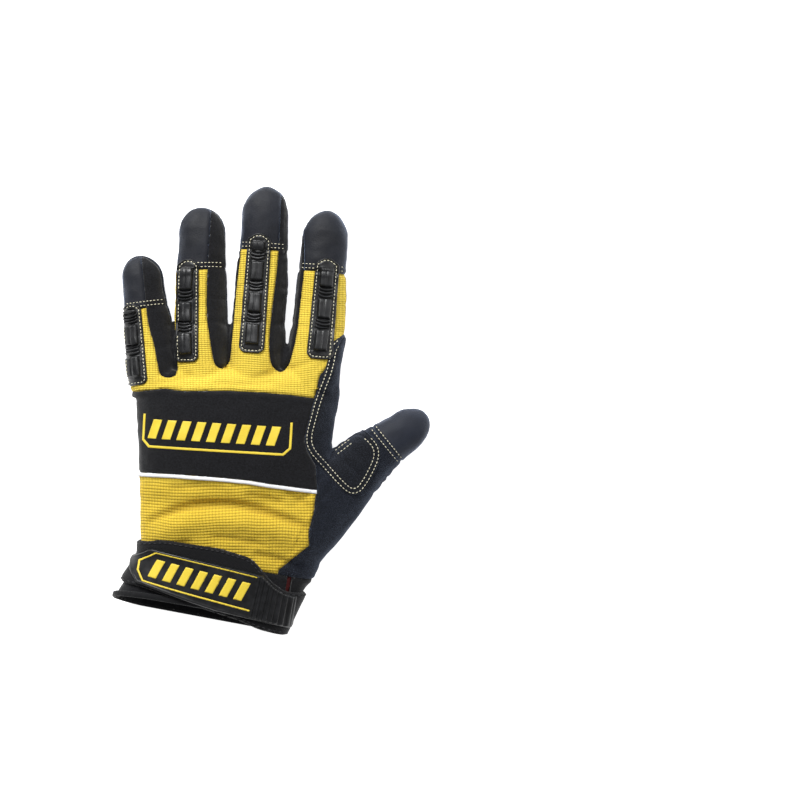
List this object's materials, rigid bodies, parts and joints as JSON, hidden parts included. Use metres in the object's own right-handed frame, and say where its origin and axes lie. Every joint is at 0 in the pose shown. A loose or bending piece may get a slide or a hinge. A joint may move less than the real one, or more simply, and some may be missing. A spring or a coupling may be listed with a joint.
{
  "type": "mechanic glove",
  "caption": "Left-hand mechanic glove with knit back panels, a leather palm with stitched pads, moulded finger guards and a hook-and-loop wrist strap.",
  "frame": {"origin": "under the middle of the glove's bounding box, on the surface that the palm rests on", "axes": "+Z out of the back of the hand, +Y from the cuff towards the fingertips, +X towards the thumb"},
  "size_m": [0.174, 0.2468, 0.0347],
  "materials": {
    "palm_leather": "matte black synthetic leather",
    "suede": "grainy charcoal synthetic suede",
    "knit": "ribbed yellow stretch knit",
    "stretch_cloth": "matte black stretch cloth",
    "piping": "white reflective piping",
    "moulded_rubber": "satin black thermoplastic rubber",
    "webbing": "black woven binding and strap"
  },
  "bodies": {
    "root": {"palm": "palm_leather", "pad_knuckles": "suede", "pad_thenar": "suede", "pad_heel": "suede", "knit_knuckles": "knit", "knit_wrist": "knit", "knuckle_band": "stretch_cloth", "piping": "piping", "side_strip_little_ring": "stretch_cloth", "side_strip_ring_middle": "stretch_cloth", "side_strip_middle_index": "stretch_cloth", "fingertip_little": "palm_leather", "fingertip_ring": "palm_leather", "fingertip_middle": "palm_leather", "fingertip_index": "palm_leather", "thumb_tip": "palm_leather", "thumb_back": "suede", "web_overlay": "palm_leather", "guard_little": "moulded_rubber", "guard_ring": "moulded_rubber", "guard_middle": "moulded_rubber", "guard_index": "moulded_rubber", "cuff": "stretch_cloth", "hem_binding": "webbing", "strap": "webbing", "strap_tab": "moulded_rubber"}
  },
  "joints": []
}
